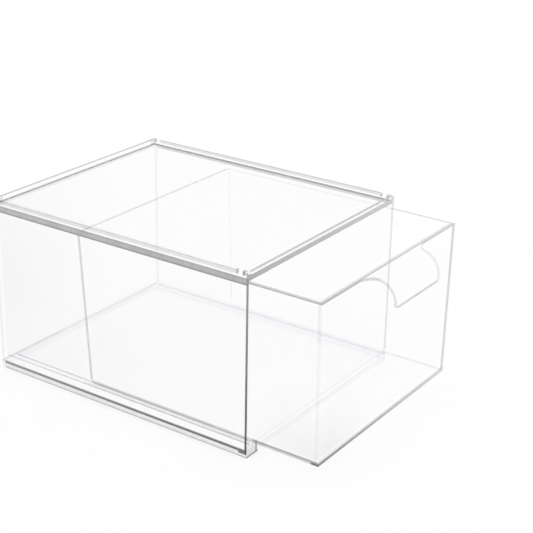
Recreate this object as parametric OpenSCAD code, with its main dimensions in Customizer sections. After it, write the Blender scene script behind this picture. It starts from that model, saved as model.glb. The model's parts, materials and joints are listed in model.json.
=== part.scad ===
// Stackable drawer box: a clear case that is open at the front, and a clear drawer that slides
// out along its raised floor. Millimetres, +Z up, the front faces -Y, +X is right seen from the front.
// The origin is on the ground, at the middle of the footprint with the drawer pulled out as drawn.

/* [Case] */
// Outside width of the case
case_w = 190; // [150:1:260]
// Depth of the case, front to back
case_d = 235; // [190:1:320]
// Height of the case, to the top of its rims
case_h = 140; // [110:1:200]
// Thickness of the side panels
side_t = 3; // [2:0.25:4]
// Thickness of the back panel
back_t = 3; // [2:0.25:4]
// Thickness of the top panel
top_t = 3; // [2:0.25:4]
// Thickness of the floor panel
floor_t = 2.6; // [2:0.2:4]
// Height of the floor's upper face above the ground
floor_h = 9.4; // [8:0.2:14]
// Rounding of the floor's front edge
floor_r = 1; // [0.4:0.1:1.6]

/* [Stacking rims] */
// Height of the rims above the top panel
rim_h = 3.6; // [2:0.2:6]
// Rounding of the rims' long edges
rim_r = 0.7; // [0.3:0.1:1]
// Depth of the post at the front end of each side rim
post_d = 5; // [4:0.5:10]
// Rounding of each post's front corner
post_r = 2.7; // [1:0.1:3.5]
// Gap between each post and its side rim
post_gap = 5.3; // [3:0.1:10]
// Gap at each back corner, along the side rim
corner_gap = 6.5; // [4:0.5:12]
// Gap at each back corner, along the back rim
back_gap = 5; // [3:0.5:10]

/* [Top rail and ledges] */
// Depth of the rail over the drawer, front to back
rail_t = 3.4; // [2.4:0.2:5]
// Rounding of the rail's front edge
rail_r = 2.2; // [1:0.1:2.4]
// Width of the ledge under each side of the top panel
ledge_w = 2; // [1:0.25:3]
// Height of the ledge under each side of the top panel
ledge_h = 2.1; // [1.2:0.1:4]

/* [Foot rails and sill, under the floor] */
// Width of each foot rail
foot_w = 10.3; // [6:0.1:16]
// Height of the foot rails
foot_h = 2.8; // [1.6:0.1:4]
// Depth of the rail's block and of the sill's skirt, behind the front plane
skirt_t = 3; // [2:0.25:4]
// Depth of the sill's bar, behind the front plane
sill_d = 9; // [6:0.5:14]

/* [Drawer] */
// How far the drawer is pulled out as drawn
opening = 54.6; // [0:0.2:120]
// Thickness of the drawer's sides, back and floor
drawer_t = 2.6; // [1.8:0.1:3.5]
// Thickness of the drawer's front panel
front_t = 3.4; // [2.4:0.1:5]
// Lean of the drawer's sides, in degrees
side_draft = 1.2; // [0:0.1:2]
// Lean of the drawer's back, in degrees
back_draft = 2.8; // [0:0.1:5]
// Outer radius between the drawer's floor and its back
drawer_r = 4; // [3:0.5:12]
// Small rounding of the front panel's upright edges
front_r = 0.8; // [0.3:0.1:1.2]

/* [Pull] */
// Width of the pull where it leaves the front panel
pull_base_w = 82; // [60:1:100]
// Width of the pull after its flared base
pull_neck_w = 66; // [40:1:70]
// Width of the pull at its lip
pull_lip_w = 61; // [36:1:64]
// Reach of the pull in front of the front panel
pull_reach = 21; // [18:0.5:30]
// Outer radius of the pull's bend
pull_bend_r = 16.5; // [10:0.5:17]
// Height of the pull, from its top face to the end of its lip
pull_drop = 20; // [18:0.5:30]
// Thickness of the pull's sheet
pull_t = 2.2; // [1.6:0.1:3]
// Thickness of the rounded lip
lip_t = 3; // [2.4:0.1:4]
// Rounding of the lip's lower corners
lip_r = 3; // [1:0.5:3]
// Fillet under the pull, against the front panel
pull_fillet = 2.4; // [1:0.1:4]

/* [Clearances] */
// Gap between the drawer and the floor it slides on
glide_gap = 0.3; // [0.2:0.05:0.8]
// Gap between each drawer side and the case, at the drawer's top edge
side_gap = 1; // [0.5:0.1:2]
// Gap between the drawer's top edge and the ledges
head_gap = 0.4; // [0.3:0.1:2]
// Space behind the closed drawer
rear_gap = 23; // [5:1:40]

/* [Hidden] */
$fn = 64;

clear_plastic = [0.86, 0.91, 0.95, 0.45];
edge_plastic = [0.70, 0.76, 0.82, 0.6];
drawer_plastic = [0.90, 0.93, 0.97, 0.45];

inner_half_w = case_w / 2 - side_t;           // inner face of each side panel
panel_z = case_h - rim_h;                     // upper face of the top panel
ceiling_z = panel_z - top_t;                  // lower face of the top panel
floor_z = floor_h - floor_t;                  // lower face of the floor panel
foot_z = floor_z - foot_h;                    // lower face of the foot rails
drawer_z = floor_h + glide_gap;               // underside of the drawer
drawer_h = ceiling_z - ledge_h - head_gap - drawer_z;
drawer_half_w = inner_half_w - side_gap;      // at the drawer's top edge
drawer_d = case_d - back_t - rear_gap;        // at the drawer's top edge
front_y = -(case_d - opening - pull_reach) / 2;   // front plane of the case

// Centre of the arc between the drawer's floor and back, from the front panel's outer face
bend_y = drawer_d - drawer_h * tan(back_draft)
         - drawer_r * (1 - sin(back_draft)) / cos(back_draft);

// A 2D shape drawn as (depth, height), extruded from x0 to x1
module across(x0, x1) {
    translate([x0, 0, 0]) rotate([90, 0, 90]) linear_extrude(x1 - x0) children();
}

// A 2D shape drawn as (width, height), extruded from y0 to y1
module along(y0, y1) {
    translate([0, y1, 0]) rotate([90, 0, 0]) linear_extrude(y1 - y0) children();
}

// Places what belongs to the case, with its front plane at depth 0
module in_case() {
    translate([0, front_y, 0]) children();
}

// Places what belongs to the drawer, with its front face at depth 0 and its underside at height 0
module in_drawer() {
    translate([0, front_y - opening, drawer_z]) children();
}

// Mirrors a part that is drawn for the right hand side to the left
module left() {
    mirror([1, 0, 0]) children();
}

// What a rounded corner at the origin takes away; the material lies at +x, +y
module corner_waste(r) {
    difference() {
        translate([-1, -1]) square(r + 1);
        translate([r, r]) circle(r);
    }
}

// Rectangle from p to q whose two upper corners are rounded
module rounded_top(p, q, r) {
    difference() {
        translate(p) square(q - p);
        translate([p.x, q.y]) mirror([0, 1]) corner_waste(r);
        translate(q) rotate(180) corner_waste(r);
    }
}

// ---- Case ----

// Outline of a side panel: the wall, the rim and the rounded post at the front
module side_outline() {
    square([case_d, panel_z]);
    difference() {
        square([post_d, case_h]);
        translate([0, case_h]) mirror([0, 1]) corner_waste(post_r);
    }
    translate([post_d + post_gap, 0]) square([case_d - corner_gap - post_d - post_gap, case_h]);
}

// Right side panel, with the ledge that the top panel rests on
module side_panel() {
    intersection() {
        across(inner_half_w, case_w / 2) side_outline();
        along(0, case_d) rounded_top([inner_half_w, 0], [case_w / 2, case_h], rim_r);
    }
    translate([inner_half_w - ledge_w, 0, ceiling_z - ledge_h])
        cube([ledge_w, case_d - back_t, ledge_h]);
}

module case_right_side() {
    color(clear_plastic) in_case() side_panel();
}

module case_left_side() {
    color(clear_plastic) in_case() left() side_panel();
}

// Back panel between the side panels, with its own length of rim
module case_back() {
    rim_half_w = inner_half_w - back_gap;
    color(clear_plastic) in_case() union() {
        translate([-inner_half_w, case_d - back_t, 0]) cube([2 * inner_half_w, back_t, panel_z]);
        across(-rim_half_w, rim_half_w)
            rounded_top([case_d - back_t, 0], [case_d, case_h], rim_r);
    }
}

module case_top() {
    color(clear_plastic) in_case() translate([-inner_half_w, rail_t, ceiling_z])
        cube([2 * inner_half_w, case_d - back_t - rail_t, top_t]);
}

// Raised floor that the drawer slides on, with a rounded front edge
module case_floor() {
    color(clear_plastic) in_case() across(-inner_half_w, inner_half_w) difference() {
        translate([0, floor_z]) square([case_d - back_t, floor_t]);
        translate([0, floor_h]) mirror([0, 1]) corner_waste(floor_r);
    }
}

// Rail over the drawer, with a rounded front edge level with the rims
module front_top_rail() {
    color(edge_plastic) in_case() across(-inner_half_w, inner_half_w) difference() {
        translate([0, ceiling_z]) square([rail_t, case_h - ceiling_z]);
        translate([0, case_h]) mirror([0, 1]) corner_waste(rail_r);
    }
}

// Sill under the floor's front edge: a skirt down to the ground, and a bar behind it
module front_sill() {
    sill_half_w = inner_half_w - foot_w;
    color(edge_plastic) in_case() across(-sill_half_w, sill_half_w) union() {
        square([skirt_t, floor_z]);
        translate([0, foot_z]) square([sill_d, foot_h]);
    }
}

// Right foot rail, along the side panel, with a block at its front end that reaches the ground
module foot_rail() {
    across(inner_half_w - foot_w, inner_half_w) union() {
        square([skirt_t, floor_z]);
        translate([0, foot_z]) square([case_d - back_t, foot_h]);
    }
}

module right_foot_rail() {
    color(edge_plastic) in_case() foot_rail();
}

module left_foot_rail() {
    color(edge_plastic) in_case() left() foot_rail();
}

// ---- Drawer ----

// Half width of the drawer's outside at a height above its underside
function half_w_at(z) = drawer_half_w - (drawer_h - z) * tan(side_draft);

// Upright cross-section of the drawer, less an equal wall on each side
module drawer_section(inset) {
    polygon([[-half_w_at(0) + inset, 0], [half_w_at(0) - inset, 0],
             [half_w_at(drawer_h) - inset, drawer_h], [-half_w_at(drawer_h) + inset, drawer_h]]);
}

// Side outline of the drawer behind its front panel, less an equal wall below and behind
module drawer_outline(inset) {
    bend_r = drawer_r - inset;
    back_foot = [bend_y + bend_r * cos(back_draft), drawer_r - bend_r * sin(back_draft)];
    back_top = back_foot.x + (drawer_h - back_foot.y) * tan(back_draft);
    polygon([[front_t, inset], [bend_y, inset], back_foot, [back_top, drawer_h],
             [front_t, drawer_h]]);
    translate([bend_y, drawer_r]) circle(bend_r);
}

module drawer_front() {
    color(drawer_plastic) in_drawer() intersection() {
        along(0, front_t) drawer_section(0);
        linear_extrude(drawer_h) difference() {
            translate([-drawer_half_w, 0]) square([2 * drawer_half_w, front_t]);
            translate([-drawer_half_w, 0]) corner_waste(front_r);
            translate([drawer_half_w, 0]) mirror([1, 0]) corner_waste(front_r);
        }
    }
}

// Right side of the drawer: a leaning wall that follows the outline of the floor and back
module drawer_side() {
    intersection() {
        along(0, drawer_d) polygon([[half_w_at(0) - drawer_t, 0], [half_w_at(0), 0],
            [half_w_at(drawer_h), drawer_h], [half_w_at(drawer_h) - drawer_t, drawer_h]]);
        across(0, case_w / 2) drawer_outline(0);
    }
}

module drawer_right_side() {
    color(drawer_plastic) in_drawer() drawer_side();
}

module drawer_left_side() {
    color(drawer_plastic) in_drawer() left() drawer_side();
}

// Back of the drawer with the rounded bend that turns into its floor
module drawer_back() {
    color(drawer_plastic) in_drawer() intersection() {
        across(-drawer_half_w, drawer_half_w) difference() {
            drawer_outline(0);
            drawer_outline(drawer_t);
            square([bend_y, drawer_h]);
        }
        along(0, drawer_d) drawer_section(drawer_t);
    }
}

module drawer_floor() {
    color(drawer_plastic) in_drawer() intersection() {
        across(-drawer_half_w, drawer_half_w)
            translate([front_t, 0]) square([bend_y - front_t, drawer_t]);
        along(0, drawer_d) drawer_section(drawer_t);
    }
}

// ---- Pull: a sheet that leaves the top of the front panel, bends down and ends in a lip ----

// Side profile, drawn as (reach, height) below the drawer's top edge
module pull_profile() {
    run = pull_reach - pull_bend_r;
    translate([0, -pull_t]) square([run, pull_t]);
    intersection() {
        translate([run, -pull_bend_r]) difference() {
            circle(pull_bend_r);
            circle(pull_bend_r - pull_t);
        }
        translate([run, -pull_bend_r]) square(pull_bend_r);
    }
    translate([pull_reach - lip_t, -pull_drop + lip_t / 2])
        square([lip_t, pull_drop - pull_bend_r + lip_t / 2]);
    translate([pull_reach - lip_t / 2, -pull_drop + lip_t / 2]) circle(lip_t / 2);
    translate([0, -pull_t]) mirror([0, 1]) difference() {
        square(pull_fillet);
        translate([pull_fillet, pull_fillet]) circle(pull_fillet);
    }
}

// Half of the plan outline, drawn as (half width, reach): a concave flare, then a slight taper
module pull_half_plan() {
    flare_r = (pull_base_w - pull_neck_w) / 2;
    polygon([[0, 0], [pull_neck_w / 2, 0], [pull_neck_w / 2, flare_r],
             [pull_lip_w / 2, pull_reach], [0, pull_reach]]);
    difference() {
        translate([pull_neck_w / 2 - 1, 0]) square([flare_r + 1, flare_r]);
        translate([pull_base_w / 2, flare_r]) circle(flare_r);
    }
}

module drawer_pull() {
    color(drawer_plastic) in_drawer() translate([0, 0, drawer_h]) mirror([0, 1, 0]) intersection() {
        across(-pull_base_w / 2, pull_base_w / 2) pull_profile();
        translate([0, 0, -pull_drop]) linear_extrude(pull_drop) union() {
            pull_half_plan();
            mirror([1, 0]) pull_half_plan();
        }
        along(0, pull_reach) mirror([0, 1]) union() {
            translate([-pull_base_w / 2, 0]) square([pull_base_w, pull_bend_r]);
            rounded_top([-pull_lip_w / 2, 0], [pull_lip_w / 2, pull_drop], lip_r);
        }
    }
}

case_left_side();
case_right_side();
case_back();
case_top();
case_floor();
front_top_rail();
front_sill();
left_foot_rail();
right_foot_rail();
drawer_front();
drawer_left_side();
drawer_right_side();
drawer_back();
drawer_floor();
drawer_pull();
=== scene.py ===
import json
import math
from contextlib import contextmanager

import bmesh
import bpy
from mathutils import Matrix, Vector


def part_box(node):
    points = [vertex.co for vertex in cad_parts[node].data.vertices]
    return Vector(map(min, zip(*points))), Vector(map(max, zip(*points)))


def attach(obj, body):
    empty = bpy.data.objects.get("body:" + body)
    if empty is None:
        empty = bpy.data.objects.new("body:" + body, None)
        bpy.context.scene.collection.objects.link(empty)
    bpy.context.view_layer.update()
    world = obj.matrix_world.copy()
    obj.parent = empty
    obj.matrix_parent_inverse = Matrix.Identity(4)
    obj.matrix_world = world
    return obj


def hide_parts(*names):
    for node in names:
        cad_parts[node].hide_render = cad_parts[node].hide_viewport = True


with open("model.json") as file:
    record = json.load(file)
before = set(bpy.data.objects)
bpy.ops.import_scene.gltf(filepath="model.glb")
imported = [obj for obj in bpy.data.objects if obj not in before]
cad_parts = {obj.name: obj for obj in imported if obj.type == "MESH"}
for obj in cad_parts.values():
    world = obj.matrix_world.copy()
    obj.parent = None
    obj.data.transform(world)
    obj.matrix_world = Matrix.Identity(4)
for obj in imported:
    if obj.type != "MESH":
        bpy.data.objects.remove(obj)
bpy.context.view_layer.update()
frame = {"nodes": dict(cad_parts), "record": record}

MM = 0.001
bodies = frame["record"]["behaviour"]["bodies"]

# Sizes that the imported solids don't state by themselves
drawer_wall = 2.6 * MM            # sides, back and floor of the drawer
side_draft = math.radians(1.2)    # lean of the drawer's sides
back_draft = math.radians(2.8)    # lean of the drawer's back
drawer_bend_r = 4 * MM            # outer radius between the drawer's floor and its back
rim_corner_w = 8.2 * MM           # width of the rim's block at each back corner
soft_edge = 0.35 * MM             # radius of a moulded corner
weld = 0.001 * MM                 # points nearer than this are one point

# Pull: sizes of the swept sheet
pull = {
    "Base Width": 82 * MM,
    "Neck Width": 66 * MM,
    "Lip Width": 61 * MM,
    "Reach": 21 * MM,
    "Bend Radius": 16.5 * MM,
    "Drop": 20 * MM,
    "Corner Radius": 3 * MM,
}
pull_sheet_t = 2.2 * MM

# Camera, measured from the middle of the footprint on the ground
camera_place = Vector((-0.75608, -0.54703, 0.48381))
camera_azimuth = math.radians(-55.55)
camera_elevation = math.radians(22.73)
camera_roll = math.radians(1.09)
camera_lens = 90.95               # millimetres, on a 36 mm sensor

LEFT = Vector((-1, 0, 0))
RIGHT = Vector((1, 0, 0))
FRONT = Vector((0, -1, 0))
BACK = Vector((0, 1, 0))
UP = Vector((0, 0, 1))
DOWN = Vector((0, 0, -1))


# ---- Meshes ----

def new_object(name, mesh):
    """Object for a mesh, put into the scene at the origin."""
    piece = bpy.data.objects.new(name, mesh)
    bpy.context.scene.collection.objects.link(piece)
    return piece


def object_from(name, bm):
    """Object for a finished bmesh, which is used up."""
    mesh = bpy.data.meshes.new(name)
    bm.to_mesh(mesh)
    bm.free()
    return new_object(name, mesh)


@contextmanager
def editing(piece):
    """The piece's mesh as a bmesh, whose changes are kept at the end."""
    bm = bmesh.new()
    bm.from_mesh(piece.data)
    yield bm
    bm.to_mesh(piece.data)
    bm.free()


def bake_modifiers(piece):
    """Turns what the modifiers show into the piece's own mesh."""
    depsgraph = bpy.context.evaluated_depsgraph_get()
    depsgraph.update()
    mesh = bpy.data.meshes.new_from_object(piece.evaluated_get(depsgraph))
    piece.modifiers.clear()
    piece.data = mesh


def clean(piece):
    """Welds doubles and melts flat neighbours into one face."""
    with editing(piece) as bm:
        bmesh.ops.remove_doubles(bm, verts=bm.verts, dist=weld)
        bmesh.ops.dissolve_limit(bm, angle_limit=math.radians(0.05), verts=bm.verts, edges=bm.edges)


def combine(piece, other, operation):
    """Joins or cuts piece with other, and uses other up."""
    modifier = piece.modifiers.new("combine", "BOOLEAN")
    modifier.operation = operation
    modifier.solver = "MANIFOLD"
    modifier.object = other
    bake_modifiers(piece)
    bpy.data.objects.remove(other)


def soften(piece, radius):
    """Rounds the sharp edges a little and keeps the broad faces flat."""
    bevel = piece.modifiers.new("moulded corners", "BEVEL")
    bevel.width = radius
    bevel.segments = 3
    bevel.limit_method = "ANGLE"
    bevel.angle_limit = math.radians(40)
    bake_modifiers(piece)
    piece.data.shade_smooth()
    piece.data.set_sharp_from_angle(angle=math.radians(35))
    weighted = piece.modifiers.new("flat faces", "WEIGHTED_NORMAL")
    weighted.weight = 100
    weighted.keep_sharp = True
    bake_modifiers(piece)


def node_copy(node):
    """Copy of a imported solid, welded into one skin."""
    piece = new_object("copy_" + node, frame["nodes"][node].data.copy())
    with editing(piece) as bm:
        bmesh.ops.remove_doubles(bm, verts=bm.verts, dist=weld)
    return piece


def cut(bm, point, normal):
    """Cuts the faces along a plane and keeps both sides."""
    everything = bm.verts[:] + bm.edges[:] + bm.faces[:]
    bmesh.ops.bisect_plane(bm, geom=everything, dist=weld, plane_co=point, plane_no=normal)


def score(piece, axis, *places):
    """Cuts the faces at each place along an axis, so that a band of them can take its own finish."""
    normal = Vector((0, 0, 0))
    normal["XYZ".index(axis)] = 1
    with editing(piece) as bm:
        for place in places:
            cut(bm, normal * place, normal)


def slot_of(piece, finish):
    """Number of a finish in the piece's list, where it is added if it isn't there."""
    if finish.name not in piece.data.materials:
        piece.data.materials.append(finish)
    return piece.data.materials.find(finish.name)


def paint(piece, finish, place, facing=None, within=45):
    """Gives a finish to the faces whose middles lie in a box, and which face one way if that is asked."""
    low, high = place
    slot = slot_of(piece, finish)
    least = math.cos(math.radians(within))
    for face in piece.data.polygons:
        inside = all(a <= c <= b for a, c, b in zip(low, face.center, high))
        if inside and (facing is None or face.normal.dot(facing) >= least):
            face.material_index = slot


def paint_corners(piece, finish):
    """Gives the narrow rounded corners their own finish, which here is a faint line of painted shade: the
    faces that are square to no axis.
    """
    square = 0.985
    slot = slot_of(piece, finish)
    for face in piece.data.polygons:
        if max(abs(c) for c in face.normal) < square:
            face.material_index = slot


def rim_corner(side):
    """The end of the back rim at one back corner of the case: side is -1 for left and 1 for right."""
    low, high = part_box("case_back")
    panel_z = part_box("case_top")[1].z
    middle_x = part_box("case_right_side")[1].x - rim_corner_w / 2
    place = Matrix.Translation((side * middle_x, (low.y + high.y) / 2, (panel_z + high.z) / 2))
    size = Matrix.Diagonal((rim_corner_w, high.y - low.y, high.z - panel_z, 1))
    bm = bmesh.new()
    bmesh.ops.create_cube(bm, size=1, matrix=place @ size)
    return object_from("rim_corner", bm)


def case_shell():
    """The case as one clear moulding: its panels, rims, rail, sill and foot rails grown together."""
    first, *others = bodies["case"]
    shell = node_copy(first)
    for node in others:
        combine(shell, node_copy(node), "UNION")
    for side in (-1, 1):
        combine(shell, rim_corner(side), "UNION")
    clean(shell)
    shell.name = "case_shell"
    return shell


def drawer_block(name, inset, y_front, y_bend, z_bottom, z_top, half_top):
    """Closed block with leaning sides and back and a rounded bend below, less an equal inset."""
    bend_r = drawer_bend_r - inset
    steps = 14
    centre = Vector((y_bend, z_bottom + drawer_bend_r))
    side = [Vector((y_front, z_bottom + inset))]
    for i in range(steps + 1):
        turn = (math.pi / 2 - back_draft) * i / steps
        side.append(centre + bend_r * Vector((math.sin(turn), -math.cos(turn))))
    foot = side[-1]
    side.append(Vector((foot.x + (z_top - foot.y) * math.tan(back_draft), z_top)))
    side.append(Vector((y_front, z_top)))
    rim_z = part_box("drawer_front")[1].z
    bm = bmesh.new()
    rings = []
    for sign in (-1, 1):
        ring = []
        for y, z in side:
            half = half_top - (rim_z - z) * math.tan(side_draft) - inset
            ring.append(bm.verts.new((sign * half, y, z)))
        rings.append(ring)
    count = len(side)
    bm.faces.new(rings[0])
    bm.faces.new(reversed(rings[1]))
    for i in range(count):
        j = (i + 1) % count
        bm.faces.new((rings[0][i], rings[1][i], rings[1][j], rings[0][j]))
    bmesh.ops.recalc_face_normals(bm, faces=bm.faces)
    return object_from(name, bm)


def drawer_tub():
    """The drawer's walls and floor in one: an outer block less an inner one."""
    low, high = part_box("drawer_front")
    y_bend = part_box("drawer_floor")[1].y
    tub = drawer_block("drawer_shell", 0, low.y, y_bend, low.z, high.z, high.x)
    above = 10 * MM
    inner = drawer_block("drawer_hollow", drawer_wall, high.y, y_bend, low.z, high.z + above, high.x)
    combine(tub, inner, "DIFFERENCE")
    return tub


# ---- The pull's sheet, swept by a rule ----

class Rule:
    """Adds maths to a node tree: each call returns the socket that holds its result."""

    def __init__(self, tree):
        self.tree = tree

    def __call__(self, operation, *values, clamp=False):
        node = self.tree.nodes.new("ShaderNodeMath")
        node.operation = operation
        node.use_clamp = clamp
        for socket, value in zip(node.inputs, values):
            if isinstance(value, (int, float)):
                socket.default_value = value
            else:
                self.tree.links.new(value, socket)
        return node.outputs[0]


def pull_tree():
    """Node tree that bends a grid into the pull: out, round a quarter turn and down to the lip."""
    tree = bpy.data.node_groups.new("Pull Sheet", "GeometryNodeTree")
    tree.interface.new_socket("Geometry", in_out="OUTPUT", socket_type="NodeSocketGeometry")
    for name in pull:
        tree.interface.new_socket(name, in_out="INPUT", socket_type="NodeSocketFloat")
    tree.interface.new_socket("Material", in_out="INPUT", socket_type="NodeSocketMaterial")
    size = tree.nodes.new("NodeGroupInput").outputs
    grid = tree.nodes.new("GeometryNodeMeshGrid")
    grid.inputs["Size X"].default_value = 1
    grid.inputs["Size Y"].default_value = 1
    grid.inputs["Vertices X"].default_value = 29
    grid.inputs["Vertices Y"].default_value = 81
    place = tree.nodes.new("ShaderNodeSeparateXYZ")
    tree.links.new(tree.nodes.new("GeometryNodeInputPosition").outputs[0], place.inputs[0])
    rule = Rule(tree)
    across = rule("MULTIPLY", place.outputs["X"], 2)
    along = rule("ADD", place.outputs["Y"], 0.5)

    run = rule("SUBTRACT", size["Reach"], size["Bend Radius"])
    quarter = rule("MULTIPLY", size["Bend Radius"], math.pi / 2)
    bend_end = rule("ADD", run, quarter)
    lip = rule("SUBTRACT", size["Drop"], size["Bend Radius"])
    travelled = rule("MULTIPLY", along, rule("ADD", bend_end, lip))
    turn = rule("DIVIDE", rule("SUBTRACT", travelled, run), size["Bend Radius"])
    turn = rule("MINIMUM", rule("MAXIMUM", turn, 0), math.pi / 2)
    out = rule("ADD", rule("MINIMUM", travelled, run),
               rule("MULTIPLY", size["Bend Radius"], rule("SINE", turn)))
    down = rule("MULTIPLY", size["Bend Radius"], rule("SUBTRACT", 1, rule("COSINE", turn)))
    down = rule("ADD", down, rule("MAXIMUM", rule("SUBTRACT", travelled, bend_end), 0))

    def quarter_round(share, radius):
        """What a quarter circle of that radius takes, at a share of 1 at its end to 0 at its start."""
        flat = rule("SQRT", rule("SUBTRACT", 1, rule("MULTIPLY", share, share)))
        return rule("MULTIPLY", radius, rule("SUBTRACT", 1, flat))

    flare = rule("MULTIPLY", rule("SUBTRACT", size["Base Width"], size["Neck Width"]), 0.5)
    in_flare = rule("SUBTRACT", 1, rule("DIVIDE", out, flare), clamp=True)
    taper = rule("MULTIPLY", rule("SUBTRACT", size["Neck Width"], size["Lip Width"]), 0.5)
    half = rule("MULTIPLY", size["Neck Width"], 0.5)
    half = rule("ADD", half, quarter_round(in_flare, flare))
    half = rule("SUBTRACT", half, rule("MULTIPLY", taper, rule("DIVIDE", out, size["Reach"])))
    to_end = rule("DIVIDE", rule("SUBTRACT", size["Drop"], down), size["Corner Radius"])
    in_corner = rule("SUBTRACT", 1, to_end, clamp=True)
    half = rule("SUBTRACT", half, quarter_round(in_corner, size["Corner Radius"]))

    point = tree.nodes.new("ShaderNodeCombineXYZ")
    tree.links.new(rule("MULTIPLY", across, half), point.inputs["X"])
    tree.links.new(rule("MULTIPLY", out, -1), point.inputs["Y"])
    tree.links.new(rule("MULTIPLY", down, -1), point.inputs["Z"])
    bend = tree.nodes.new("GeometryNodeSetPosition")
    tree.links.new(grid.outputs["Mesh"], bend.inputs["Geometry"])
    tree.links.new(point.outputs[0], bend.inputs["Position"])
    realize = tree.nodes.new("GeometryNodeRealizeInstances")
    tree.links.new(bend.outputs[0], realize.inputs[0])
    finish = tree.nodes.new("GeometryNodeSetMaterial")
    tree.links.new(realize.outputs[0], finish.inputs["Geometry"])
    tree.links.new(size["Material"], finish.inputs["Material"])
    output = tree.nodes.new("NodeGroupOutput")
    tree.links.new(finish.outputs[0], output.inputs[0])
    return tree


def pull_sheet(material):
    """The pull in its place in front of the drawer, as a closed sheet of even thickness."""
    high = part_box("drawer_pull")[1]
    start = Vector((0, high.y, high.z))
    piece = new_object("pull_sheet", bpy.data.meshes.new("pull_sheet"))
    modifier = piece.modifiers.new("pull", "NODES")
    modifier.node_group = pull_tree()
    sockets = {s.name: s.identifier for s in modifier.node_group.interface.items_tree
               if s.in_out == "INPUT"}
    for name, value in pull.items():
        modifier[sockets[name]] = value
    modifier[sockets["Material"]] = material
    bake_modifiers(piece)
    piece.data.transform(Matrix.Translation(start))
    with editing(piece) as bm:
        bmesh.ops.remove_doubles(bm, verts=bm.verts, dist=weld)
        first = min(bm.faces, key=lambda f: (f.calc_center_median() - start).length)
        if first.normal.z < 0:
            bmesh.ops.reverse_faces(bm, faces=bm.faces)
    thick = piece.modifiers.new("thickness", "SOLIDIFY")
    thick.thickness = pull_sheet_t
    thick.offset = -1
    bake_modifiers(piece)
    return piece


# ---- Materials ----

# Where the case starts along each axis, and how long it is
case_low, case_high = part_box("case_left_side")
spans = {
    "X": (case_low.x, -2 * case_low.x),
    "Y": (case_low.y, case_high.y - case_low.y),
    "Z": (case_low.z, case_high.z - case_low.z),
}


def grain(tree, size, detail=2.0, stretch=(1, 1, 1)):
    """Noise of a given size in the plastic, from 0 to 1."""
    place = tree.nodes.new("ShaderNodeTexCoord")
    mapping = tree.nodes.new("ShaderNodeMapping")
    mapping.inputs["Scale"].default_value = stretch
    tree.links.new(place.outputs["Object"], mapping.inputs["Vector"])
    noise = tree.nodes.new("ShaderNodeTexNoise")
    noise.inputs["Scale"].default_value = 1 / size
    noise.inputs["Detail"].default_value = detail
    tree.links.new(mapping.outputs[0], noise.inputs["Vector"])
    return noise.outputs[0]


def between(tree, share, first, second):
    """Colour from first to second as share goes from 0.3 to 0.7."""
    ramp = tree.nodes.new("ShaderNodeValToRGB")
    ramp.color_ramp.elements[0].position = 0.3
    ramp.color_ramp.elements[0].color = (*first, 1)
    ramp.color_ramp.elements[1].position = 0.7
    ramp.color_ramp.elements[1].color = (*second, 1)
    tree.links.new(share, ramp.inputs[0])
    return ramp.outputs[0]


def grey(tone):
    """Linear lilac grey of a tone from 0 to 255."""
    return tuple(((v / 255 + 0.055) / 1.055) ** 2.4 for v in (tone, tone - 1.1, tone + 1.1))


def new_plastic(name):
    """Material of polished plastic with its node tree and its main shader."""
    material = bpy.data.materials.new(name)
    material.use_nodes = True
    tree = material.node_tree
    shader = tree.nodes["Principled BSDF"]
    shader.inputs["IOR"].default_value = 1.5
    return material, tree, shader


def painted_shade_near(tree, rule, shade_spot):
    """Painted shade near a point, drawn as a sheet that is less clear there: a shade spot is that point,
    its radius and its full share.
    """
    point, radius, share = shade_spot
    place = tree.nodes.new("ShaderNodeTexCoord")
    away = tree.nodes.new("ShaderNodeVectorMath")
    away.operation = "DISTANCE"
    tree.links.new(place.outputs["Object"], away.inputs[0])
    away.inputs[1].default_value = point
    near = rule("MAXIMUM", rule("MULTIPLY_ADD", away.outputs["Value"], -1 / radius, 1), 0)
    return rule("MULTIPLY", rule("POWER", near, 1.3), share)


def clear_sheet(name, tint, haze, edge_haze, shade_spot):
    """A polished clear face: seen through, with faint flow marks, less clear at a glancing angle, and with
    painted shade near one point.
    """
    material, tree, shader = new_plastic(name)
    rule = Rule(tree)
    darker = tuple(0.93 * c for c in tint)
    tree.links.new(between(tree, grain(tree, 45 * MM, 3), darker, tint), shader.inputs["Base Color"])
    smear = grain(tree, 18 * MM, 4, (1, 1, 0.3))
    tree.links.new(rule("ADD", 0.03, rule("MULTIPLY", smear, 0.08)), shader.inputs["Roughness"])
    view = tree.nodes.new("ShaderNodeLayerWeight")
    view.inputs["Blend"].default_value = 0.5
    glance = rule("POWER", view.outputs["Facing"], 5)
    marks = rule("MULTIPLY", haze, rule("ADD", 0.7, rule("MULTIPLY", smear, 0.6)))
    cloud = rule("ADD", marks, rule("MULTIPLY", glance, edge_haze))
    tree.links.new(rule("ADD", cloud, painted_shade_near(tree, rule, shade_spot)), shader.inputs["Alpha"])
    return material


def see_through_painted_shade(name, tone):
    """A faint line of painted shade on an edge, in place of the light that the plastic's edges bend and
    reflect: the sheet is still seen through, only greyer, to a tone against white.
    """
    material, tree, shader = new_plastic(name)
    white = grey(252)[0]
    share = [c / white for c in grey(tone)]
    shader.inputs["Base Color"].default_value = (*[c * 0.8 for c in share], 1)
    shader.inputs["Roughness"].default_value = 0.1
    through = tree.nodes.new("ShaderNodeBsdfTransparent")
    # the painted shade varies in uneven streaks
    tint = between(tree, grain(tree, 9 * MM, 3), [c ** 1.15 for c in share], [c ** 0.85 for c in share])
    tree.links.new(tint, through.inputs["Color"])
    mix = tree.nodes.new("ShaderNodeMixShader")
    mix.inputs[0].default_value = 0.04
    tree.links.new(through.outputs[0], mix.inputs[1])
    tree.links.new(shader.outputs[0], mix.inputs[2])
    tree.links.new(mix.outputs[0], tree.nodes["Material Output"].inputs["Surface"])
    return material


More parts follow.
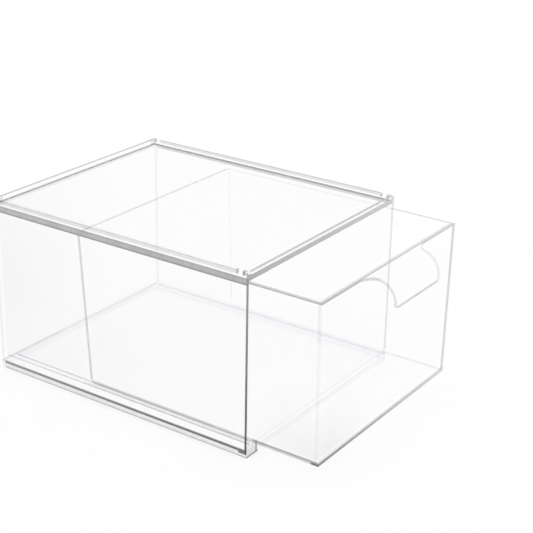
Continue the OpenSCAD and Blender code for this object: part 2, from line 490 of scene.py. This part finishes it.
def painted_shade_base(tone, alpha):
    """Base colour of a painted shade edge that shows a tone once its gloss and the white behind it are
    added.
    """
    gloss = 0.04
    behind = 0.93
    return [max((c - (1 - alpha) * behind) / alpha - gloss, 0) for c in grey(tone)]


def painted_shade_edge(name, tone, alpha=0.95, far_tone=None, axis="X"):
    """A moulded edge with painted shade, in place of the light that the plastic's edges bend and reflect,
    in uneven streaks: its tone against white.

    With a far_tone, the painted shade changes to that tone along an axis, from the case's low end to its
    high end."""
    material, tree, shader = new_plastic(name)
    base = painted_shade_base(tone, alpha)
    colour = between(tree, grain(tree, 7 * MM, 3), [c * 0.92 for c in base], [c * 1.08 for c in base])
    if far_tone:
        place = tree.nodes.new("ShaderNodeTexCoord")
        split = tree.nodes.new("ShaderNodeSeparateXYZ")
        tree.links.new(place.outputs["Object"], split.inputs[0])
        start, length = spans[axis]
        share = Rule(tree)("MULTIPLY_ADD", split.outputs[axis], 1 / length, -start / length, clamp=True)
        mix = tree.nodes.new("ShaderNodeMix")
        mix.data_type = "RGBA"
        tree.links.new(share, mix.inputs["Factor"])
        tree.links.new(colour, mix.inputs["A"])
        mix.inputs["B"].default_value = (*painted_shade_base(far_tone, alpha), 1)
        colour = mix.outputs["Result"]
    tree.links.new(colour, shader.inputs["Base Color"])
    shader.inputs["Roughness"].default_value = 0.12
    shader.inputs["Alpha"].default_value = alpha
    return material


def white_stage(name, albedo, shadow):
    """White seen directly or through the plastic, with a faint shadow; it lights the object from below."""
    material = bpy.data.materials.new(name)
    material.use_nodes = True
    tree = material.node_tree
    tree.nodes.clear()
    rule = Rule(tree)
    path = tree.nodes.new("ShaderNodeLightPath")
    seen = rule("MAXIMUM", path.outputs["Is Camera Ray"], path.outputs["Is Glossy Ray"])
    seen = rule("MAXIMUM", seen, path.outputs["Is Transmission Ray"])
    glow = tree.nodes.new("ShaderNodeEmission")
    tree.links.new(rule("MULTIPLY", seen, 1 - shadow), glow.inputs["Strength"])
    matte = tree.nodes.new("ShaderNodeBsdfDiffuse")
    tree.links.new(rule("SUBTRACT", albedo, rule("MULTIPLY", seen, albedo - shadow)), matte.inputs["Color"])
    both = tree.nodes.new("ShaderNodeAddShader")
    tree.links.new(glow.outputs[0], both.inputs[0])
    tree.links.new(matte.outputs[0], both.inputs[1])
    output = tree.nodes.new("ShaderNodeOutputMaterial")
    tree.links.new(both.outputs[0], output.inputs["Surface"])
    return material


# Clear faces, with painted shade towards the back left corner of the case and the lower left corner of the
# drawer, where they are less clear
case_shade_spot = (Vector((case_low.x, case_high.y, case_high.z / 2)), 145 * MM, 0.042)
drawer_shade_spot = (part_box("drawer_front")[0] + Vector((18 * MM, 0, 0)), 70 * MM, 0.07)
case_sheet = clear_sheet("clear case sheet", (0.60, 0.60, 0.66), 0.009, 0.05, case_shade_spot)
floor_sheet = clear_sheet("clear floor sheet", (0.55, 0.55, 0.64), 0.016, 0.05, case_shade_spot)
drawer_sheet = clear_sheet("clear drawer sheet", (0.60, 0.60, 0.66), 0.004, 0.05, drawer_shade_spot)

# Faint edges of painted shade, from the lightest on
barely_edge = see_through_painted_shade("barely an edge", 249)
hint_edge = see_through_painted_shade("hint of an edge", 244)
faint_edge = see_through_painted_shade("faint edge", 237)
light_edge = see_through_painted_shade("light edge", 229)
soft_grey_edge = see_through_painted_shade("soft grey edge", 216)

# Grey and dark edges of painted shade, some darker towards one end
grey_edge = painted_shade_edge("grey edge", 204, 0.9)
thread_edge = painted_shade_edge("thin dark edge", 172)
dark_edge = painted_shade_edge("dark edge", 130, far_tone=165, axis="Y")
black_edge = painted_shade_edge("darkest edge", 100, far_tone=145, axis="Y")
upright_edge = painted_shade_edge("front upright", 92, far_tone=164, axis="Z")

# Painted shade lines of the band along the top panel and of the rail over the drawer
rail_band = painted_shade_edge("rail band", 186, far_tone=214)
band_light = painted_shade_edge("lighter middle of the band", 198)
band_edge = painted_shade_edge("grey band", 186)
band_dark = painted_shade_edge("lower border of the band", 160)

# Painted shade lines along the drawer's front
front_rim = painted_shade_edge("upper edge of the front", 186, far_tone=210)
low_band = painted_shade_edge("lower edge of the front", 144, far_tone=230)
low_core = painted_shade_edge("core of the lower edge", 124, far_tone=226)


# ---- Places ----

# All in millimetres: X from the middle, Y from the front of the case, Z from the ground
front_y = case_low.y
case_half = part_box("case_right_side")[1].x / MM
case_depth = (case_high.y - front_y) / MM
case_height = case_high.z / MM
wall = case_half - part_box("case_top")[1].x / MM
panel_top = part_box("case_top")[1].z / MM
floor_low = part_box("case_floor")[0].z / MM
floor_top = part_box("case_floor")[1].z / MM
foot_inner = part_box("right_foot_rail")[0].x / MM
drawer_out = (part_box("drawer_front")[0].y - front_y) / MM
drawer_end = (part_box("drawer_back")[1].y - front_y) / MM
drawer_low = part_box("drawer_front")[0].z / MM
drawer_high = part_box("drawer_front")[1].z / MM
drawer_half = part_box("drawer_front")[1].x / MM
drawer_back_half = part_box("drawer_back")[1].x / MM

# Heights on the case where one line ends and the next begins
ground_line = 1.1
spot_low = 2.6
skirt_line = 3.2
foot_low = 4.0
foot_core = 4.8
foot_high = 6.4
foot_lines = (foot_low, foot_core, 5.6, foot_high)
floor_line = floor_top + 1
band_mid = 132.1
band_high = 133.9
band_end = 135.5
band_lines = (130.3, 131.2, band_mid, band_high, band_end)
rim_low = 136.9
rim_line = 139.1

# Depths and widths on the case where one line ends and the next begins
upright_w = 1.8
post_line = 3.6
post_depth = 5
spot_end = 7.0
rim_start = (9.6, 10.8)
rim_start_line = 11.6
rim_corner_in = 87
foot_step = 2.6
foot_step_in = 1.2
back_line_end = -30

# Heights above the drawer's underside where one line ends and the next begins
low_mid = 1.6
low_grey = 2.7
low_light = 3.4
low_lines = (0.8, low_mid, 2.2, low_grey, low_light, 4.4)

# Widths of the lines along the drawer's other edges
rim_skin = 0.9
drawer_rim_w = 3
front_rim_w = 1.4
corner_w = 2.0
corner_line = 2.8
corner_drop = 28
corner_spot = 6.0

# How far from its face a middle may lie, and how far a range reaches past a piece
skin = 0.4
hair = 0.1
past = 1
wall_lean = 4                     # a little more than the drawer's sides lean inwards
far = 400
everywhere = (-900, 900)


def zone(x=everywhere, y=everywhere, z=everywhere):
    """Lowest and highest corner of a box."""
    low = Vector((min(x) * MM, front_y + y[0] * MM, z[0] * MM))
    high = Vector((max(x) * MM, front_y + y[1] * MM, z[1] * MM))
    return low, high


def around(place, reach):
    """Range that reaches as far to either side of a place."""
    return place - reach, place + reach


def paint_lines(piece, x, y, heights, facing, *finishes):
    """Paints lines that lie one above the other: each finish goes between two of the heights."""
    for low, high, finish in zip(heights, heights[1:], finishes):
        paint(piece, finish, zone(x, y, (low, high)), facing)


# ---- Case ----

case_top_z = around(case_height, hair)
floor_edge_z = (floor_top - 0.3, floor_line)
ground_z = (-hair, ground_line)
post_front = around(0, 0.3)
post_front_z = (band_high, 138.5)
post_back = around(post_depth, skin)
back_wall = (case_depth - wall, case_depth)


def side_ranges(side):
    """X ranges of a side panel's outer face, inner face and edge: side is -1 for left and 1 for right."""
    outer = (side * (case_half - skin), side * (case_half + past))
    inner = (side * (case_half - wall - skin), side * (case_half - wall + skin))
    edge = (side * (case_half - wall), side * case_half)
    return outer, inner, edge


def finish_left_side(case):
    """Painted shade lines on the rim, band, upright, post and foot of the left side, which are painted the
    darkest.
    """
    outer, inner, edge = side_ranges(-1)
    post_z = (panel_top - hair, case_height)
    paint(case, light_edge, zone(outer, z=(rim_low, case_height - skin)), LEFT)
    paint_lines(case, outer, everywhere, band_lines, LEFT, band_dark, band_edge, band_light, band_edge)
    paint_lines(case, outer, everywhere, foot_lines, LEFT, dark_edge, black_edge, band_edge)
    # painted shade: a dark line up the front upright, darker at its foot
    paint(case, upright_edge, zone(outer, (0, upright_w), (0, rim_low)), LEFT)
    # post, and the rim behind its gap
    paint(case, band_edge, zone(edge, post_front, post_front_z), FRONT, 60)
    paint(case, grey_edge, zone(edge, post_back, post_z), BACK, 60)
    paint(case, grey_edge, zone(edge, rim_start, post_z), FRONT, 60)
    paint(case, soft_grey_edge, zone(outer, (rim_start[0], far), (rim_line, case_height)), LEFT, 60)
    paint(case, grey_edge, zone(edge, (0, post_depth + hair), case_top_z), UP)
    for reach in ((post_line, post_depth + hair), (-hair, upright_w)):
        paint(case, band_edge, zone(outer, reach, (band_end + hair, case_height)), LEFT, 60)
    # painted shade lines inside, along the floor and along the foot rail
    paint(case, soft_grey_edge, zone(inner, z=floor_edge_z), RIGHT, 30)
    paint(case, soft_grey_edge, zone(around(-foot_inner, 0.2), z=(floor_low - 1.3, floor_low)), RIGHT)
    # foot, with a painted dark spot of shade at its front corner, where the upright ends
    paint(case, grey_edge, zone(outer, z=ground_z), LEFT, 60)
    paint(case, faint_edge, zone(outer, z=(ground_line, foot_low)), LEFT)
    paint(case, dark_edge, zone(outer, (upright_w, spot_end), (spot_low, foot_low)), LEFT)
    paint(case, upright_edge, zone(outer, (0, upright_w), (spot_low, foot_low)), LEFT)
    # corner at the back
    paint(case, hint_edge, zone(outer, back_wall, (0, band_high)), LEFT)


def finish_right_side(case):
    """Painted shade lines on the rim, band, post and foot of the right side, which are painted lighter than
    the left ones.
    """
    outer, inner, edge = side_ranges(1)
    rim_z = (rim_low, case_height - skin)
    band_y = (upright_w, far)
    paint(case, light_edge, zone(outer, z=rim_z), RIGHT)
    paint_lines(case, outer, band_y, (band_mid, band_high, band_end), RIGHT, soft_grey_edge, band_edge)
    # post, start of the rim, and front of the panel
    paint(case, soft_grey_edge, zone(edge, post_front, post_front_z), FRONT, 30)
    paint(case, grey_edge, zone(edge, post_back, rim_z), BACK)
    paint(case, grey_edge, zone(edge, rim_start, rim_z), FRONT)
    paint(case, light_edge, zone(edge, post_front, (0, band_high)), FRONT, 30)
    # floor's line inside, foot and top of the rim
    paint(case, barely_edge, zone(inner, z=floor_edge_z), LEFT, 30)
    paint(case, faint_edge, zone(outer, z=(foot_low, foot_high)), RIGHT)
    paint(case, light_edge, zone(edge, z=case_top_z), UP)
    paint(case, barely_edge, zone(outer, z=ground_z), RIGHT, 60)
    paint(case, barely_edge, zone(outer, z=(ground_line, foot_low)), RIGHT)
    # corner at the back
    paint(case, hint_edge, zone(outer, back_wall, (0, band_high)), RIGHT)


def finish_case_back(case):
    """Painted shade lines on the rim of the back, its corner blocks, the band beside the top panel and the
    lower edge.
    """
    outer = (case_depth - skin, case_depth + past)
    inner = around(case_depth - wall, skin)
    paint(case, grey_edge, zone(y=back_wall, z=case_top_z), UP)
    paint_lines(case, everywhere, outer, (band_mid, band_high, band_end), BACK, faint_edge, band_light)
    paint(case, grey_edge, zone(y=outer, z=(rim_line, case_height + hair)), BACK, 50)
    for side in (-1, 1):
        block_x = (side * rim_corner_in, side * (case_half + hair))
        block_y = (case_depth - wall - hair, case_depth + hair)
        block = zone(block_x, block_y, (panel_top, case_height - hair))
        paint(case, light_edge, block, FRONT)
        paint(case, soft_grey_edge, block, Vector((side, 0, 0)), 60)
    paint(case, barely_edge, zone((-90, 90), inner, floor_edge_z), FRONT, 30)
    # lower edge, with painted shade darker towards the left
    paint(case, faint_edge, zone(y=outer, z=(foot_low, foot_high)), BACK)
    paint(case, light_edge, zone((-case_half, back_line_end), outer, (foot_low, foot_high)), BACK)
    paint(case, barely_edge, zone(y=outer, z=(ground_line, foot_low)), BACK)
    paint(case, barely_edge, zone(y=outer, z=ground_z), BACK, 60)


def finish_case_front(case):
    """Painted shade lines on the rail over the drawer, the front edges of the floor and the skirt, and the
    two foot blocks, darker on the left block.
    """
    face = around(0, skin)
    rail_x = around(0, case_half - wall)
    rail_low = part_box("front_top_rail")[0].z / MM
    paint(case, rail_band, zone(rail_x, face, (rail_low + skin, 137.9)), FRONT, 30)
    paint(case, grey_edge, zone(rail_x, (0, 1.7), (rim_line, case_height + hair)), UP, 50)
    paint(case, faint_edge, zone(y=face, z=(foot_low, foot_core)), FRONT)
    floor_round = zone(y=(-skin, 1.2), z=(floor_top - 1.1, floor_top + hair))
    paint(case, barely_edge, floor_round, (FRONT + UP).normalized(), 40)
    paint(case, barely_edge, zone(y=face, z=(ground_line, skirt_line)), FRONT)
    left_finishes = (light_edge, faint_edge, dark_edge)
    right_finishes = (barely_edge, barely_edge, hint_edge)
    for side, (fill, over, line) in ((-1, left_finishes), (1, right_finishes)):
        block = (side * case_half, side * foot_inner)
        inner_line = (side * (foot_inner + foot_step), side * (foot_inner + foot_step_in))
        paint(case, fill, zone(block, face, (ground_line, floor_low)), FRONT)
        paint(case, over, zone(block, face, (floor_low, floor_top)), FRONT)
        paint(case, line, zone(block, face, ground_z), FRONT, 60)
        paint(case, line, zone(inner_line, face, (ground_line, floor_top)), FRONT)


def finish_case_floor(case):
    """Top of the raised floor, and a painted reflection of the drawer's side in it, as a strip along the
    left side.
    """
    surface = around(floor_top, hair)
    panel_x = around(0, case_half - wall - 1)
    paint(case, floor_sheet, zone(panel_x, (1, case_depth - wall - 1), surface), UP)
    reflection_strip_x = (-case_half + wall, -drawer_back_half)
    # painted reflection of the drawer's side in the floor
    paint(case, faint_edge, zone(reflection_strip_x, (0, drawer_end), surface), UP)


def score_case(case):
    """Cuts the case wherever one finish meets the next."""
    heights = (ground_line, spot_low, skirt_line, *foot_lines, floor_line, *band_lines, rim_low, rim_line)
    for height in heights:
        score(case, "Z", height * MM)
    for depth in (upright_w, post_line, spot_end, rim_start_line, drawer_end, case_depth - wall):
        score(case, "Y", front_y + depth * MM)
    foot_widths = (foot_inner + foot_step, foot_inner + foot_step_in, foot_inner)
    for width in (case_half - wall, drawer_back_half, rim_corner_in, *foot_widths):
        score(case, "X", -width * MM, width * MM)
    score(case, "X", back_line_end * MM)


case = case_shell()
score_case(case)
soften(case, soft_edge)
case.data.materials.clear()
case.data.materials.append(case_sheet)
# the case's rounded corners get a faint line of painted shade
paint_corners(case, barely_edge)
finish_left_side(case)
finish_right_side(case)
finish_case_back(case)
finish_case_front(case)
finish_case_floor(case)
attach(case, "case")
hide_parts(*bodies["case"])


# ---- Drawer ----

drawer_front_y = around(drawer_out, hair)
drawer_corner_y = (drawer_out - hair, drawer_out + corner_w)
drawer_inside = (drawer_out + 0.05, far)
drawer_top_z = (drawer_high - skin, drawer_high + hair)
drawer_rim_z = (drawer_high - rim_skin, drawer_high)
drawer_under_z = (drawer_low - hair, drawer_low + low_mid)


def back_edge_y(z):
    """Depth of the drawer's leaning back at a height, both in metres."""
    return front_y + drawer_end * MM - (drawer_high * MM - z) * math.tan(back_draft)


def finish_drawer_back(drawer):
    """The back's thickness, seen through the sides as a line of painted shade that is darker on the left,
    and the clear bend between floor and back.
    """
    largest_band = 0.001              # square metres: the wall itself is larger
    for face in drawer.data.polygons:
        middle = face.center
        band = abs(face.normal.x) > 0.7 and face.area < largest_band
        if band and middle.y > back_edge_y(middle.z) - drawer_wall:
            face.material_index = slot_of(drawer, soft_grey_edge if middle.x < 0 else barely_edge)
    bend = zone(y=(drawer_end - 20, drawer_end + past), z=(drawer_low, drawer_low + 5))
    for outwards in (1, -1):
        paint(drawer, drawer_sheet, bend, Vector((0, 0.7 * outwards, -0.7 * outwards)), 44)


def finish_pull(drawer):
    """The pull stays clear but for lines of painted shade on its edges and its flared ends, darker on the
    left.
    """
    reach_x = around(0, 45)
    reach_y = (drawer_out - 40, drawer_out - 0.2)
    whole = zone(reach_x, reach_y)
    lip = zone(reach_x, (drawer_out - 40, drawer_out - 15), (drawer_high - 21, drawer_high - 18.4))
    for way in (UP, DOWN, FRONT, BACK, Vector((0, -0.7, 0.7)), Vector((0, 0.7, -0.7))):
        paint(drawer, drawer_sheet, whole, way, 30)
    paint(drawer, soft_grey_edge, lip, DOWN, 80)
    paint(drawer, light_edge, whole, LEFT, 60)
    paint(drawer, faint_edge, whole, RIGHT, 60)
    for side, finish in ((-1, soft_grey_edge), (1, faint_edge)):
        flare = zone((side * 42, side * 32), (drawer_out - 8.5, drawer_out - 0.2))
        paint(drawer, finish, flare, (FRONT + Vector((side, 0, 0))).normalized(), 60)


def finish_drawer_rim(drawer):
    """Painted shade lines on the upper edges of the drawer, darker at its front."""
    left_rim = (-drawer_half - past, -drawer_half + drawer_rim_w)
    right_rim = (drawer_half - drawer_rim_w, drawer_half + past)
    paint(drawer, light_edge, zone(y=drawer_inside, z=drawer_top_z), UP, 60)
    paint(drawer, soft_grey_edge, zone(left_rim, drawer_inside, drawer_top_z), UP, 60)
    paint(drawer, hint_edge, zone(right_rim, drawer_inside, drawer_top_z), UP, 60)
    paint(drawer, faint_edge, zone(right_rim, (drawer_inside[0], 0), drawer_top_z), UP, 60)
    paint(drawer, front_rim, zone(y=(drawer_inside[0], drawer_out + front_rim_w), z=drawer_top_z), UP, 60)
    paint(drawer, front_rim, zone(y=drawer_front_y, z=drawer_rim_z), FRONT, 40)


def finish_drawer_front(drawer):
    """Lower edge of the front, where the floor's thickness shows as painted shade lines one above the
    other.
    """
    face = (drawer_out - hair, drawer_out + 0.5)
    heights = [drawer_low + h for h in low_lines]
    finishes = (low_core, low_band, band_light, light_edge, faint_edge)
    paint(drawer, low_band, zone(y=face, z=(drawer_low - hair, heights[0])), FRONT, 60)
    paint_lines(drawer, everywhere, face, heights, FRONT, *finishes)


def finish_drawer_left(drawer):
    """Painted shade on the corner, upper edge and lower lines of the drawer's left wall."""
    wall_x = (-drawer_half - past, -drawer_half + wall_lean)
    corner_line_y = (drawer_out + corner_w, drawer_out + corner_line)
    corner_z = (drawer_high - corner_drop, drawer_high)
    paint(drawer, barely_edge, zone(wall_x, (drawer_out, drawer_out + corner_w)), LEFT)
    paint(drawer, hint_edge, zone(wall_x, corner_line_y), LEFT)
    paint(drawer, hint_edge, zone(wall_x, drawer_corner_y, corner_z), LEFT, 60)
    paint(drawer, faint_edge, zone(wall_x, corner_line_y, corner_z), LEFT)
    paint(drawer, band_edge, zone(wall_x, drawer_inside, drawer_rim_z), LEFT, 60)
    # lower painted shade lines, first where the drawer is out of the case at rest, then inside the case,
    # where they are lighter
    heights = (drawer_low + low_mid, drawer_low + low_grey, drawer_low + low_light)
    for reach, middle, upper in (((drawer_out, 0), thread_edge, soft_grey_edge),
                                 ((0, far), soft_grey_edge, faint_edge)):
        paint(drawer, soft_grey_edge, zone(wall_x, reach, drawer_under_z), LEFT, 60)
        paint_lines(drawer, wall_x, reach, heights, LEFT, middle, upper)
    # a painted dark spot of shade at the wall's front lower corner
    spot_y = (drawer_out - hair, drawer_out + corner_spot)
    paint(drawer, dark_edge, zone(wall_x, spot_y, drawer_under_z), LEFT, 60)


def finish_drawer_right(drawer):
    """Painted shade lines on the corner, lower edge and upper edge of the drawer's right wall, painted
    lighter than the left ones.
    """
    wall_x = (drawer_half - wall_lean, drawer_half + past)
    low_corner = zone((80, 100), (drawer_out + corner_w, far), (drawer_low - 1, drawer_low + 4))
    paint(drawer, soft_grey_edge, zone(wall_x, drawer_corner_y), RIGHT, 60)
    paint(drawer, drawer_sheet, low_corner)
    paint(drawer, faint_edge, zone(wall_x, (drawer_out + corner_w, 0), drawer_under_z), RIGHT, 60)
    paint(drawer, barely_edge, zone(wall_x, (0, far), drawer_under_z), RIGHT, 60)
    paint(drawer, faint_edge, zone(wall_x, (drawer_out, 0), drawer_rim_z), RIGHT, 60)


def score_drawer(drawer):
    """Cuts the drawer wherever one finish meets the next, and beside its leaning back."""
    for height in low_lines:
        score(drawer, "Z", (drawer_low + height) * MM)
    score(drawer, "Z", (drawer_high - rim_skin) * MM, (drawer_high - corner_drop) * MM)
    for depth in (0, front_rim_w, corner_w, corner_line, corner_spot, -drawer_out):
        score(drawer, "Y", front_y + (drawer_out + depth) * MM)
    rim_x = (drawer_half - drawer_rim_w) * MM
    score(drawer, "X", -rim_x, rim_x)
    back_band = 2.2
    with editing(drawer) as bm:
        point = Vector((0, front_y + (drawer_end - back_band) * MM, drawer_high * MM))
        cut(bm, point, Vector((0, math.cos(back_draft), -math.sin(back_draft))))


drawer = drawer_tub()
combine(drawer, pull_sheet(drawer_sheet), "UNION")
clean(drawer)
score_drawer(drawer)
soften(drawer, soft_edge)
drawer.data.materials.clear()
drawer.data.materials.append(drawer_sheet)
# the drawer's rounded corners get a faint line of painted shade
paint_corners(drawer, hint_edge)
finish_drawer_back(drawer)
finish_pull(drawer)
finish_drawer_rim(drawer)
finish_drawer_front(drawer)
finish_drawer_left(drawer)
finish_drawer_right(drawer)
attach(drawer, "drawer")
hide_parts(*bodies["drawer"])


# ---- Stage, light and camera ----

def floor_plane():
    """White floor a little under the feet."""
    drop = Matrix.Translation((0, 0, -0.2 * MM))
    bm = bmesh.new()
    bmesh.ops.create_grid(bm, x_segments=1, y_segments=1, size=6, matrix=drop)
    plane = object_from("floor", bm)
    plane.data.materials.append(white_stage("white floor", 0.8, 0.3))
    return plane


def studio_world():
    """Even white light from all round."""
    world = bpy.data.worlds.new("studio")
    bpy.context.scene.world = world
    world.use_nodes = True
    world.node_tree.nodes["Background"].inputs["Color"].default_value = (1, 1, 1, 1)


def place_camera():
    """Camera at its place, turned by its azimuth, elevation and roll."""
    back = Vector((math.sin(camera_azimuth) * math.cos(camera_elevation),
                   -math.cos(camera_azimuth) * math.cos(camera_elevation),
                   math.sin(camera_elevation)))
    level = (-back).cross(UP).normalized()
    upright = level.cross(-back)
    right = math.cos(camera_roll) * level + math.sin(camera_roll) * upright
    up = math.cos(camera_roll) * upright - math.sin(camera_roll) * level
    data = bpy.data.cameras.new("camera")
    data.lens = camera_lens
    data.sensor_width = 36
    data.clip_start = 0.01
    camera = bpy.data.objects.new("camera", data)
    turn = Matrix((right, up, back)).transposed().to_4x4()
    camera.matrix_world = Matrix.Translation(camera_place) @ turn
    bpy.context.scene.collection.objects.link(camera)
    bpy.context.scene.camera = camera


floor_plane()
studio_world()
place_camera()

scene = bpy.context.scene
scene.view_settings.view_transform = "Standard"
scene.cycles.transparent_max_bounces = 64
